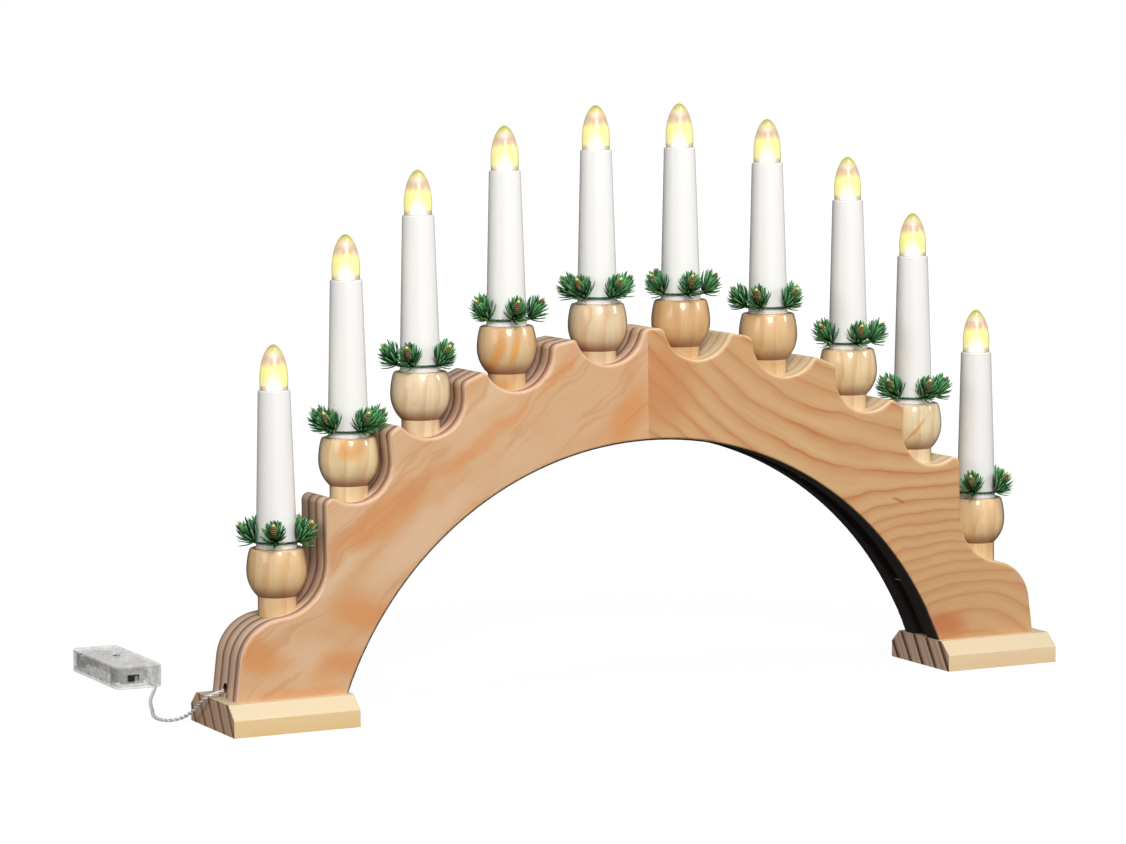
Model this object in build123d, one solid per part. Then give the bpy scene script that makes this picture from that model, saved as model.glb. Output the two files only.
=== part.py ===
from build123d import *
import os
from math import atan2, cos, degrees, pi, radians, sin, sqrt, tan

# Battery candle arch: a scalloped pine arch on two moulded feet, ten LED candles in
# turned cups with green wreaths, and a clear battery box on a short twisted lead.
# Millimetres. X runs along the arch, Y away from the viewer, Z up.
# The origin is on the floor, midway between the feet.

# Arch
overall_width = 500.0
slab_thickness = 36.8
slab_end_x = 243.3
inner_arc_radius = 193.0
inner_arc_centre_z = -53.4
crest_arc_radius = 270.4
crest_arc_centre_z = -70.0
crest_arc_end_x = 176.0
first_wall_x = 193.0
first_wall_top_z = 127.0
# The seam lies a little left of the feet's middle, the row of candles a little right of it
seam_x = -2.2
row_shift = 2.0
shoulder_inner_z = 62.0
shoulder_outer_corner = (238.5, 55.5)
shoulder_inner_round = 28.0
shoulder_outer_round = 25.0
notch_radius = 21.0
notch_lean = 5.0
nose_round = 4.0
crest_back_round = 2.4
edge_round = 1.8
dowel_radius = 4.0
dowel_length = 19.0

# Feet
foot_length = 70.7
foot_half_depth = 31.5
foot_side_height = 9.2
foot_top_half_depth = 23.4
foot_height = 16.2
foot_edge_round = 0.7

# Candles and notches, outermost first, by their distance from the middle of their row
candle_x = [214.3, 172.6, 130.7, 79.8, 25.4]
cup_base_z = [67.9, 124.0, 156.7, 178.8, 188.5]
notch_centres = [(176.3, 137.0), (133.6, 169.1), (81.6, 191.2), (27.0, 202.9)]
seat_floor_z = [47.0, 102.6, 134.7, 156.8, 168.5]

# Cup
stem_radius = 10.4
belly_radius = 16.15
belly_height = 13.5
cup_top_radius = 14.2
cup_height = 25.7
cup_top_round = 1.7
socket_depth = 5.0
cup_bore_radius = 3.0

# Sleeve, lens and lamp
sleeve_height = 82.8
sleeve_base_radius = 10.9
sleeve_top_radius = 8.55
sleeve_wall = 1.2
sleeve_cap = 1.5
lens_height = 24.0
lens_base_radius = 7.4
lens_belly_radius = 7.6
lens_belly_height = 5.0
lens_spigot_radius = 5.0
lens_spigot_depth = 4.0
lamp_bore_radius = 2.75
lamp_bore_height = 8.0
lamp_bore_tip = 11.5
led_radius = 2.5
led_flange_radius = 2.9
led_tip_height = 7.6
leg_spacing = 2.54

# Wreath
ring_radius = 12.1
ring_wire_radius = 0.65
ring_lift = 2.7
sprigs_per_wreath = 5
sprig_stem_radius = 1.0
sprig_stem_length = 6.0
sprig_rise = 58.0
bud_length = 8.0
bud_radius = 1.9
needle_base_radius = 0.5
needle_tip_radius = 0.16
# How far round each wreath is turned, in degrees from the X axis, leftmost first
wreath_turn = [28, -8, 10, 48, 67, 46, 7, 47, 52, 14]

# Wiring
bore_radius = 2.5
lead_hole_z = 21.4
lead_z = 20.2
groove_half_width = 7.0
groove_depth = 4.5
trunk_radius = 1.1
trunk_arc_radius = 196.3
trunk_bend = 5.0
lamp_lead_radius = 0.8
lamp_lead_start_radius = 198.7

# Battery box
box_width = 26.8
box_length = 76.5
box_height = 13.2
box_centre_x = -240.0
box_near_y = 138.0
box_wall = 1.2
box_corner_round = 3.5
box_edge_round = 1.1
cover_thickness = 1.4
switch_bay_length = 15.4
boss_radius = 1.6
cover_screw_radius = 0.9
spring_radius = 3.2
spring_wire_radius = 0.35
spring_pitch = 1.35
spring_turns = 4
lead_exit = (-232.8, 2.4)

# Battery lead: centre line from the arch's end hole down to the floor and to the box
lead_radius = 1.0
lead_route = [
    (-243.3, 0.0, 20.2), (-248.9, 0.0, 20.2), (-254.7, 2.2, 18.0), (-256.0, 8.4, 12.0),
    (-256.6, 16.6, 6.2), (-259.6, 23.6, 2.4), (-264.6, 30.2, 1.2), (-266.8, 38.6, 1.2),
    (-265.2, 49.0, 1.2), (-260.6, 62.0, 1.2), (-255.6, 78.4, 1.2), (-249.4, 96.0, 1.2),
    (-242.0, 112.6, 1.2), (-236.4, 124.6, 1.3), (-232.8, 132.4, 2.4), (-232.8, 139.6, 2.4),
]

half_thickness = slab_thickness / 2
foot_inner_x = overall_width / 2 - foot_length
foot_centre_x = overall_width / 2 - foot_length / 2
cup_top_z = [z + cup_height for z in cup_base_z]
sleeve_top_z = [z + sleeve_height for z in cup_top_z]
candle_count = 2 * len(candle_x)


def candle_place(number):
    """X of candle 1 to 10 from the left, and its index in the outermost-first lists."""
    index = number - 1 if number <= len(candle_x) else candle_count - number
    side = -1 if number <= len(candle_x) else 1
    return side * candle_x[index] + row_shift, index


def arc_height(radius, x):
    """Height at x of a circle about the inner arc's centre."""
    return inner_arc_centre_z + sqrt(radius**2 - x**2)


def upright_cylinder(radius, x, y, z_low, z_high):
    return Pos(x, y, (z_low + z_high) / 2) * Cylinder(radius, z_high - z_low)


def block(low, high):
    """A box from its lowest to its highest corner."""
    size = [b - a for a, b in zip(low, high)]
    middle = [(a + b) / 2 for a, b in zip(low, high)]
    return Pos(*middle) * Box(*size)


def turned(edges):
    """A solid turned about the Z axis from a closed outline in the XZ plane."""
    return revolve(make_face(edges), Axis.Z)


def outline(points):
    """Straight edges through (radius, height) points, closed."""
    corners = [(r, 0, z) for r, z in points]
    return [Polyline(*corners, close=True)]


# Arch halves
def side_blank(side):
    """One side before its notches are cut, drawn to the right: crest, shoulder and inner arc."""
    wall_x = first_wall_x + side * row_shift
    crest_z = crest_arc_centre_z + crest_arc_radius
    crest_end_z = crest_arc_centre_z + sqrt(crest_arc_radius**2 - crest_arc_end_x**2)
    crest_mid_x = crest_arc_end_x / 2
    crest_mid_z = crest_arc_centre_z + sqrt(crest_arc_radius**2 - crest_mid_x**2)
    inner_foot_x = sqrt(inner_arc_radius**2 - (foot_height - inner_arc_centre_z) ** 2)
    inner_mid_x = inner_foot_x / 2
    crown_z = inner_arc_centre_z + inner_arc_radius
    edges = [
        Line((0, 0, crown_z), (0, 0, crest_z)),
        ThreePointArc((0, 0, crest_z), (crest_mid_x, 0, crest_mid_z),
                      (crest_arc_end_x, 0, crest_end_z)),
        Line((crest_arc_end_x, 0, crest_end_z), (wall_x, 0, first_wall_top_z)),
        FilletPolyline(
            (wall_x, 0, first_wall_top_z),
            (wall_x, 0, shoulder_inner_z),
            (shoulder_outer_corner[0], 0, shoulder_outer_corner[1]),
            (slab_end_x, 0, foot_height),
            radius=[shoulder_inner_round, shoulder_outer_round],
        ),
        Line((slab_end_x, 0, foot_height), (inner_foot_x, 0, foot_height)),
        ThreePointArc((inner_foot_x, 0, foot_height),
                      (inner_mid_x, 0, arc_height(inner_arc_radius, inner_mid_x)),
                      (0, 0, crown_z)),
    ]
    return extrude(make_face(edges), amount=half_thickness, dir=(0, 1, 0), both=True)


def notch_cutter(side, centre):
    """A round notch whose upper part leans outwards, as a saw would leave it."""
    height = 60.0
    deep = slab_thickness + 2
    round_part = Rot(90, 0, 0) * Cylinder(notch_radius, deep)
    upper_part = Pos(0, 0, height / 2) * Box(2 * notch_radius, deep, height)
    place = Pos(side * centre[0] + row_shift, 0, centre[1])
    return place * (round_part + Rot(0, side * notch_lean, 0) * upper_part)


def crest_edges(solid, wanted):
    """Edges across the slab at the crests, picked by a test on their X and Z."""
    across = solid.edges().filter_by(Axis.Y)
    return [e for e in across if e.length > half_thickness and wanted(e.center().X, e.center().Z)]


def on_crest(x, z):
    return abs(sqrt(x**2 + (z - crest_arc_centre_z) ** 2) - crest_arc_radius) < 0.6


def round_crests(solid):
    """Round each crest: its overhanging nose and the edge behind it."""
    def row_distance(x):
        return abs(x - row_shift)

    def is_back(x, z):
        far = row_distance(x)
        return on_crest(x, z) and any(0 < far - c[0] < notch_radius + 1 for c in notch_centres[1:])

    def is_nose(x, z):
        far = row_distance(x)
        first = abs(far - first_wall_x) < 0.1 and 118 < z < 126
        others = on_crest(x, z) and any(0 < c[0] - far < notch_radius + 1 for c in notch_centres)
        return first or others

    solid = fillet(crest_edges(solid, is_nose), nose_round)
    return fillet(crest_edges(solid, is_back), crest_back_round)


def face_edges(solid):
    """The long edges where the front and back faces meet the sawn outline."""
    picked = []
    for y in (-half_thickness, half_thickness):
        for e in solid.edges():
            box = e.bounding_box()
            flat = abs(box.min.Y - y) < 0.01 and abs(box.max.Y - y) < 0.01
            on_foot = box.max.Z < foot_height + 0.01
            if flat and not on_foot:
                picked.append(e)
    return picked


def wiring_cuts(side):
    """Bores for the stems and leads of one half, its floor bore and the groove below."""
    outer, inner = groove_depth + inner_arc_radius, inner_arc_radius - 2
    ring = Rot(90, 0, 0) * (
        Cylinder(outer, 2 * groove_half_width) - Cylinder(inner, 2 * groove_half_width + 1)
    )
    cuts = [Pos(0, 0, inner_arc_centre_z) * ring]
    for distance, seat, base in zip(candle_x, seat_floor_z, cup_base_z):
        x = side * distance + row_shift
        cuts.append(upright_cylinder(stem_radius, x, 0, seat, base))
        low = lead_hole_z if distance > foot_inner_x else arc_height(inner_arc_radius, x)
        cuts.append(upright_cylinder(bore_radius, x, 0, low, seat + 1))
    start = side * (foot_inner_x - 2)
    end = side * (overall_width / 2) if side < 0 else candle_x[0] + row_shift + bore_radius
    bore = Pos((start + end) / 2, 0, lead_hole_z) * Rot(0, 90, 0)
    cuts.append(bore * Cylinder(bore_radius, abs(end - start)))
    return cuts


def arch_slab():
    """The whole slab, notched and rounded, before it is parted at the seam."""
    slab = side_blank(1) + mirror(side_blank(-1), Plane.YZ)
    for side in (-1, 1):
        for centre in notch_centres:
            slab = slab - notch_cutter(side, centre)
    slab = round_crests(slab)
    return fillet(face_edges(slab), edge_round)


def arch_half(side, slab, held):
    """One half of the slab; held is what is let into it: dowels, screws, staples."""
    low_x, high_x = sorted((seam_x, side * overall_width))
    solid = slab & block((low_x, -half_thickness - 1, 0), (high_x, half_thickness + 1, 260))
    for cut in wiring_cuts(side) + held:
        solid = solid - cut
    return solid


def joint_dowels():
    """Three beech dowels across the glued seam at the crown."""
    places = [(-9.0, 153.0), (9.0, 167.0), (-9.0, 177.0)]
    dowel = Rot(0, 90, 0) * Cylinder(dowel_radius, dowel_length)
    return [Pos(seam_x, y, z) * dowel for y, z in places]


# Feet
def foot(side):
    """A length of bevelled moulding, ends cut square."""
    profile = [
        (-foot_half_depth, 0), (-foot_half_depth, foot_side_height),
        (-foot_top_half_depth, foot_height), (foot_top_half_depth, foot_height),
        (foot_half_depth, foot_side_height), (foot_half_depth, 0),
    ]
    start = side * foot_centre_x - foot_length / 2
    corners = [(start, y, z) for y, z in profile]
    solid = extrude(make_face(Polyline(*corners, close=True)), amount=foot_length, dir=(1, 0, 0))
    long_edges = [e for e in solid.edges().filter_by(Axis.X) if e.center().Z > 1]
    return fillet(long_edges, foot_edge_round)


def foot_screws():
    """Countersunk screws driven up through the feet into the slab."""
    head_radius, shank_radius, head_height = 4.0, 2.0, 3.0
    head_sink, tip_z, point = 0.8, 44.0, 4.0
    slot_width, slot_depth = 1.0, 1.2
    screw = turned(outline([
        (0, head_sink), (head_radius, head_sink), (head_radius, head_sink + 0.4),
        (shank_radius, head_sink + head_height), (shank_radius, tip_z - point),
        (0.3, tip_z), (0, tip_z),
    ]))
    slot = Pos(0, 0, head_sink) * Box(2 * head_radius, slot_width, 2 * slot_depth)
    cross = Pos(0, 0, head_sink) * Box(slot_width, 2 * head_radius, 2 * slot_depth)
    screw = screw - slot - cross
    places = [(side * (foot_inner_x + dx), dy) for side in (-1, 1) for dx, dy in ((16, 10), (52, -10))]
    return [Pos(x, y, 0) * screw for x, y in places]


def screw_clearance():
    """What the foot screws take out of the feet: the shanks and the open countersinks."""
    cuts = []
    for screw in foot_screws():
        centre = screw.bounding_box().center()
        cuts.append(upright_cylinder(4.0, centre.X, centre.Y, -1, 1.21))
        cuts.append(screw)
    return cuts


# Candles
def candle_cup(number):
    """A turned cup: round belly, flat top with the sleeve's socket, stem and lead bore."""
    x, index = candle_place(number)
    base = cup_base_z[index]
    seat = seat_floor_z[index] - base
    socket_radius = sleeve_base_radius + 0.05
    low_arc_radius = ((belly_radius - stem_radius) ** 2 + belly_height**2) / (
        2 * (belly_radius - stem_radius)
    )
    low_mid_z = belly_height * 0.4
    low_mid_r = belly_radius - low_arc_radius + sqrt(
        low_arc_radius**2 - (belly_height - low_mid_z) ** 2
    )
    rise = cup_height - belly_height
    draw_in = belly_radius - cup_top_radius
    high_arc_radius = (draw_in**2 + rise**2) / (2 * draw_in)
    high_mid_z = belly_height + rise / 2
    high_mid_r = belly_radius - high_arc_radius + sqrt(high_arc_radius**2 - (rise / 2) ** 2)
    edges = [
        Polyline((cup_bore_radius, 0, cup_height - socket_depth), (cup_bore_radius, 0, seat),
                 (stem_radius, 0, seat), (stem_radius, 0, 0)),
        ThreePointArc((stem_radius, 0, 0), (low_mid_r, 0, low_mid_z),
                      (belly_radius, 0, belly_height)),
        ThreePointArc((belly_radius, 0, belly_height), (high_mid_r, 0, high_mid_z),
                      (cup_top_radius, 0, cup_height)),
        Polyline((cup_top_radius, 0, cup_height), (socket_radius, 0, cup_height),
                 (socket_radius, 0, cup_height - socket_depth),
                 (cup_bore_radius, 0, cup_height - socket_depth)),
    ]
    cup = turned(edges)
    rim = cup.edges().filter_by(GeomType.CIRCLE).filter_by(
        lambda e: abs(e.radius - cup_top_radius) < 0.01
    )
    return Pos(x, 0, base) * fillet(rim, cup_top_round)


def candle_sleeve(number):
    """A tapered hollow tube, closed at the top by a thin ring that seats the lens."""
    x, index = candle_place(number)
    low = -socket_depth
    hole = lens_spigot_radius + 0.1
    top = sleeve_height
    body = turned(outline([
        (sleeve_base_radius - sleeve_wall, low), (sleeve_base_radius, low),
        (sleeve_base_radius, 0), (sleeve_top_radius, top - 0.4), (sleeve_top_radius - 0.4, top),
        (hole, top), (hole, top - sleeve_cap), (sleeve_top_radius - sleeve_wall, top - sleeve_cap),
    ]))
    return Pos(x, 0, cup_top_z[index]) * body


def flame_lens(number):
    """A solid clear flame: pointed top, spigot below and a bore for the lamp."""
    x, index = candle_place(number)
    ogive = lens_height - lens_belly_height
    tilt = radians(50)
    mid = (lens_belly_radius * cos(tilt) * 0.96, lens_belly_height + ogive * sin(tilt))
    mount_bore = led_flange_radius + 0.2
    edges = [
        Polyline((lens_belly_radius, 0, lens_belly_height), (lens_base_radius, 0, 0),
                 (lens_spigot_radius, 0, 0), (lens_spigot_radius, 0, -lens_spigot_depth),
                 (mount_bore, 0, -lens_spigot_depth), (mount_bore, 0, 0.5),
                 (lamp_bore_radius, 0, 0.5), (lamp_bore_radius, 0, lamp_bore_height),
                 (0, 0, lamp_bore_tip), (0, 0, lens_height)),
        Spline((0, 0, lens_height), (mid[0], 0, mid[1]), (lens_belly_radius, 0, lens_belly_height),
               tangents=[(1, 0, -0.35), (-0.02, 0, -1)]),
    ]
    return Pos(x, 0, sleeve_top_z[index]) * turned(edges)


def led_lamps():
    """Ten lamps: flange, domed body and two legs each."""
    dome_base = led_tip_height - led_radius
    body = turned([
        Polyline((0, 0, led_tip_height), (0, 0, -1), (led_flange_radius, 0, -1),
                 (led_flange_radius, 0, 0), (led_radius, 0, 0), (led_radius, 0, dome_base)),
        ThreePointArc((led_radius, 0, dome_base),
                      (led_radius * cos(pi / 4), 0, dome_base + led_radius * sin(pi / 4)),
                      (0, 0, led_tip_height)),
    ])
    legs = [block((s * leg_spacing / 2 - 0.25, -0.25, -9), (s * leg_spacing / 2 + 0.25, 0.25, -1))
            for s in (-1, 1)]
    lamp = body + legs
    return [Pos(x, 0, sleeve_top_z[i]) * lamp for x, i in map(candle_place, range(1, 11))]


def led_holders():
    """Ten white plugs: a cup round the lens spigot and a post that carries the lamp."""
    rim = sleeve_top_radius - sleeve_wall - 0.1
    wall = lens_spigot_radius + 0.1
    post = led_flange_radius - 0.2
    plug = turned(outline([
        (0, -6.5), (rim, -6.5), (rim, -1.6), (wall, -1.6), (wall, -4.5), (post, -4.5),
        (post, -1), (0, -1),
    ]))
    plug = plug - block((-1.8, -0.45, -7), (1.8, 0.45, 0))
    return [Pos(x, 0, sleeve_top_z[i]) * plug for x, i in map(candle_place, range(1, 11))]


# Wreaths
def needle(length):
    """A three-sided tapered strand standing on the origin along Z."""
    foot_face = RegularPolygon(needle_base_radius, 3)
    tip_face = Pos(0, 0, length) * RegularPolygon(needle_tip_radius, 3)
    return loft([foot_face.face(), tip_face.face()], ruled=True)


def sprig():
    """A stem, a cone bud and a fan of needles, leaning out along +X from the ring."""
    lean = Rot(0, 90 - sprig_rise, 0)
    stem = lean * Pos(0, 0, sprig_stem_length / 2) * Cylinder(sprig_stem_radius, sprig_stem_length)
    bud = turned([
        Line((0, 0, 0), (bud_radius * 0.75, 0, 0)),
        ThreePointArc((bud_radius * 0.75, 0, 0), (bud_radius, 0, bud_length * 0.35),
                      (0.3, 0, bud_length)),
        Line((0.3, 0, bud_length), (0, 0, bud_length)),
        Line((0, 0, bud_length), (0, 0, 0)),
    ])
    bud = lean * Pos(0, 0, sprig_stem_length - 0.5) * bud
    # Each needle: distance along the stem, rise and swing in degrees, length
    fan = [
        (1.0, 16, -40, 9.4), (1.6, 24, 0, 8.2), (1.0, 16, 40, 9.4), (2.4, 46, -62, 11.0),
        (2.4, 46, 62, 11.0), (3.4, 68, -75, 12.0), (3.4, 68, 75, 12.0), (2.6, 80, 180, 12.5),
    ]
    needles = []
    for along, rise, swing, length in fan:
        root_x = along * cos(radians(sprig_rise))
        root_z = along * sin(radians(sprig_rise))
        turn = Rot(0, 0, swing) * Rot(0, 90 - rise, 0)
        needles.append(Pos(root_x, 0, root_z) * turn * needle(length))
    return Pos(ring_radius, 0, 0) * stem.fuse(bud, *needles)


def wreath_pattern():
    """The wire ring with its five sprigs, centred on the candle's axis."""
    ring = Torus(ring_radius, ring_wire_radius)
    one = sprig()
    around = [Rot(0, 0, 360 / sprigs_per_wreath * n) * one for n in range(sprigs_per_wreath)]
    return ring.fuse(*around)


def place_wreath(pattern, number):
    x, index = candle_place(number)
    height = cup_top_z[index] + ring_wire_radius + ring_lift
    return Pos(x, 0, height) * Rot(0, 0, wreath_turn[number - 1]) * pattern


# Wiring in the arch
def harness_trunk():
    """The main pair: through the left end, along the groove and under the last candle."""
    corner_x = sqrt(trunk_arc_radius**2 - (lead_z - inner_arc_centre_z) ** 2)
    corner_angle = degrees(atan2(lead_z - inner_arc_centre_z, corner_x))
    with BuildLine(Plane.XZ) as route:
        Line((-slab_end_x, lead_z), (-corner_x, lead_z))
        CenterArc((0, inner_arc_centre_z), trunk_arc_radius, 180 - corner_angle,
                  -(180 - 2 * corner_angle))
        Line((corner_x, lead_z), (candle_x[0] + row_shift, lead_z))
        corners = route.vertices().filter_by(
            lambda v: abs(abs(v.X) - corner_x) < 0.01 and abs(v.Z - lead_z) < 0.01
        )
        fillet(corners, trunk_bend)
    path = route.wire()
    start = Plane(origin=path @ 0, z_dir=path % 0)
    tube = sweep(start * Circle(trunk_radius), path=path)
    expected = pi * trunk_radius**2 * path.length
    print("harness trunk: length %.1f, volume %.1f, expected %.1f"
          % (path.length, tube.volume, expected))
    return tube


def lamp_leads():
    """One short pair from the trunk straight up to each lamp's legs."""
    leads = []
    for x, index in map(candle_place, range(1, 11)):
        if index == 0:
            low = lead_z + trunk_radius + 0.1
        else:
            low = arc_height(lamp_lead_start_radius, x)
        leads.append(upright_cylinder(lamp_lead_radius, x, 0, low, sleeve_top_z[index] - 9.1))
    return leads


def wire_staples():
    """Small staples that hold the trunk up in its groove."""
    crown_low = trunk_arc_radius - trunk_radius - 1.0
    crown_high = trunk_arc_radius - trunk_radius - 0.1
    half_span, leg = 3.0, 0.9
    leg_end = inner_arc_radius + groove_depth + 5.5
    crown = block((-0.45, -half_span, crown_low), (0.45, half_span, crown_high))
    legs = [block((-0.45, y, crown_low), (0.45, y + leg, leg_end)) for y in (-half_span, half_span - leg)]
    staple = crown + legs
    angles = [-58, -32, -14, 14, 32, 58]
    return [Pos(0, 0, inner_arc_centre_z) * Rot(0, a, 0) * staple for a in angles]


# Battery box
box_left_x = box_centre_x - box_width / 2
box_right_x = box_centre_x + box_width / 2
box_far_y = box_near_y + box_length
shell_top_z = box_height - cover_thickness
bay_near_y = box_near_y + 2 * box_wall + switch_bay_length
bay_far_y = box_far_y - box_wall
bay_middle_y = (box_near_y + box_far_y) / 2
bay_half_pitch = (box_width / 2 - box_wall + box_wall / 2) / 2
window_low = (-247.1, 4.5)
window_high = (-240.1, 8.3)
far_plate_gap = 0.6
switch_pin_x = (-247.2, -243.9, -240.6)
contact_hole = (-231.0, 8.0)
switched_hole = (-245.6, 6.6)


def rounded_block(low, high, corner):
    """A box with rounded upright corners."""
    solid = block(low, high)
    return fillet(solid.edges().filter_by(Axis.Z), corner)


def battery_case_shell():
    """The clear tray: switch bay, two cell bays, the screw boss and its openings."""
    tray = rounded_block((box_left_x, box_near_y, 0), (box_right_x, box_far_y, shell_top_z),
                         box_corner_round)
    floor_edges = tray.edges().filter_by(lambda e: e.center().Z < 0.01)
    tray = fillet(floor_edges, box_edge_round)
    inner_left, inner_right = box_left_x + box_wall, box_right_x - box_wall
    switch_bay = block((inner_left, box_near_y + box_wall, box_wall),
                       (inner_right, bay_near_y - box_wall, shell_top_z + 1))
    switch_bay = fillet(switch_bay.edges().filter_by(Axis.Z), 1.5)
    cells = block((inner_left, bay_near_y, box_wall), (inner_right, bay_far_y, shell_top_z + 1))
    cells = fillet(cells.edges().filter_by(Axis.Z), 1.5)
    tray = tray - switch_bay - cells
    divider = block((box_centre_x - box_wall / 2, bay_near_y - 0.1, box_wall - 0.1),
                    (box_centre_x + box_wall / 2, bay_far_y - far_plate_gap, shell_top_z - 0.4))
    boss = upright_cylinder(boss_radius, box_centre_x, bay_middle_y, box_wall - 0.1, shell_top_z - 0.4)
    pilot = upright_cylinder(cover_screw_radius + 0.06, box_centre_x, bay_middle_y, 3.0, shell_top_z)
    window = block((window_low[0], box_near_y - 1, window_low[1]),
                   (window_high[0], box_near_y + box_wall + 0.5, window_high[1]))
    holes = [(lead_exit, box_near_y, lead_radius + 0.1)]
    holes += [(place, bay_near_y - box_wall / 2, 0.55) for place in (contact_hole, switched_hole)]
    tray = tray + divider + boss - pilot - window
    for (x, z), y, radius in holes:
        tray = tray - Pos(x, y, z) * Rot(90, 0, 0) * Cylinder(radius, 2.2 * box_wall)
    return tray


def battery_cover():
    """The lid: a flat plate with a locating rib that drops into the switch bay."""
    plate = rounded_block((box_left_x, box_near_y, shell_top_z), (box_right_x, box_far_y, box_height),
                          box_corner_round)
    plate = fillet(plate.edges().group_by(Axis.Z)[-1], box_edge_round)
    gap, rib = 0.3, 0.8
    low = (box_left_x + box_wall + gap, box_near_y + box_wall + gap, shell_top_z - rib)
    high = (box_right_x - box_wall - gap, bay_near_y - box_wall - gap, shell_top_z + 0.1)
    ring = rounded_block(low, high, 1.5)
    hollow = block((low[0] + rib, low[1] + rib, low[2] - 1), (high[0] - rib, high[1] - rib, shell_top_z))
    centre = (box_centre_x, bay_middle_y)
    hole = upright_cylinder(cover_screw_radius + 0.1, *centre, low[2] - 1, box_height + 1)
    head_recess = upright_cylinder(2.1, *centre, box_height - 0.8, box_height + 1)
    return plate + (ring - hollow) - hole - head_recess


def cover_screw():
    """The lid's cross-headed screw, its head just proud of the recess."""
    x, y = box_centre_x, bay_middle_y
    head = upright_cylinder(2.0, x, y, box_height - 0.7, box_height + 0.3)
    shank = upright_cylinder(cover_screw_radius, x, y, 3.6, box_height - 0.5)
    slot = Pos(x, y, box_height + 0.3) * Box(2.6, 0.5, 1.0)
    cross = Pos(x, y, box_height + 0.3) * Box(0.5, 2.6, 1.0)
    return head + shank - slot - cross


def switch_body():
    """The slide switch behind the window, with the slot its slider runs in."""
    body = block((-249.6, box_near_y + 1.3, 3.0), (-237.6, box_near_y + 7.3, 9.4))
    slot = block((window_low[0], box_near_y, window_low[1]),
                 (window_high[0], box_near_y + 3.6, window_high[1]))
    pins = [block((x, box_near_y + 7.2, 5.6), (x + 0.6, box_near_y + 10.0, 6.8))
            for x in switch_pin_x]
    return body - slot + pins


def switch_slider():
    """The black thumb piece that slides from off, on the left, to on."""
    nub = block((-246.9, box_near_y - 1.0, 4.7), (-243.3, box_near_y + 3.2, 8.1))
    grip_edges = nub.edges().filter_by(lambda e: e.center().Y < box_near_y - 0.9)
    return fillet(grip_edges, 0.3)


def contact_plates():
    """A plate at the near end of each cell bay and one that bridges both at the far end."""
    def plate(low_x, high_x, y):
        solid = block((low_x, y, 1.6), (high_x, y + 0.4, 10.4))
        return fillet(solid.edges().filter_by(Axis.Y), 1.2)

    left, right = box_centre_x - bay_half_pitch, box_centre_x + bay_half_pitch
    return [plate(left - 4.4, left + 4.4, bay_near_y), plate(right - 4.4, right + 4.4, bay_near_y),
            plate(left - 4.4, right + 4.4, bay_far_y - 0.4)]


def helix_path(radius, pitch, turns):
    """A coil's centre line along Z: two tangent arcs for each quarter turn."""
    slope = pitch / (2 * pi)

    def place(a):
        return Vector(radius * cos(a), radius * sin(a), slope * a)

    def heading(a):
        return Vector(-radius * sin(a), radius * cos(a), slope).normalized()

    arcs = []
    for quarter in range(4 * turns):
        a, b = quarter * pi / 2, (quarter + 1) * pi / 2
        p, q, t, u = place(a), place(b), heading(a), heading(b)
        chord, lean = q - p, t + u
        spread = 2 * (1 - t.dot(u))
        reach = chord.dot(lean)
        d = (-reach + sqrt(reach**2 + spread * chord.dot(chord))) / spread
        joint = (p + t * d + q - u * d) / 2
        arcs.append(TangentArc(p, joint, tangent=t))
        arcs.append(TangentArc(joint, q, tangent=joint - (p + t * d)))
    return Wire(arcs)


def self_gap(path, wire_radius, samples):
    """Least gap between a coil's wire and its next turn, measured on points."""
    points = [path @ (n / samples) for n in range(samples + 1)]
    step = path.length / samples
    skip = int(pi * wire_radius * 6 / step) + 1
    nearest = min(
        (points[i] - points[j]).length
        for i in range(len(points)) for j in range(i + skip, len(points))
    )
    return nearest - 2 * wire_radius


def contact_springs():
    """Two coil springs: the left bay's at its far end, the right bay's at its near end."""
    path = helix_path(spring_radius, spring_pitch, spring_turns)
    start = Plane(origin=path @ 0, z_dir=path % 0)
    coil = sweep(start * Circle(spring_wire_radius), path=path)
    expected = pi * spring_wire_radius**2 * path.length
    print("contact spring: volume %.2f, expected %.2f, least gap to itself %.2f"
          % (coil.volume, expected, self_gap(path, spring_wire_radius, 400)))
    middle_z = 6.0
    stand_off = 0.4 + spring_wire_radius + 0.02
    far = Pos(box_centre_x - bay_half_pitch, bay_far_y - stand_off, middle_z) * Rot(90, 0, 0) * coil
    near = Pos(box_centre_x + bay_half_pitch, bay_near_y + stand_off, middle_z) * Rot(-90, 0, 0) * coil
    return [far, near]


def tube_along(points, radius, name):
    """A round tube on straight runs joined by tangent arcs, each as large as its runs allow."""
    corners = [Vector(*p) for p in points]
    runs = [b - a for a, b in zip(corners, corners[1:])]
    radii = []
    for before, after in zip(runs, runs[1:]):
        half_turn = radians(before.get_angle(after)) / 2
        radii.append(0.45 * min(before.length, after.length) / tan(half_turn))
    path = FilletPolyline(*corners, radius=radii).wire()
    start = Plane(origin=path @ 0, z_dir=path % 0)
    tube = sweep(start * Circle(radius), path=path)
    print("%s: length %.1f, radii %s" % (name, path.length, ", ".join("%.1f" % r for r in radii)))
    print("%s: volume %.2f, expected %.2f" % (name, tube.volume, pi * radius**2 * path.length))
    return tube


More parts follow.
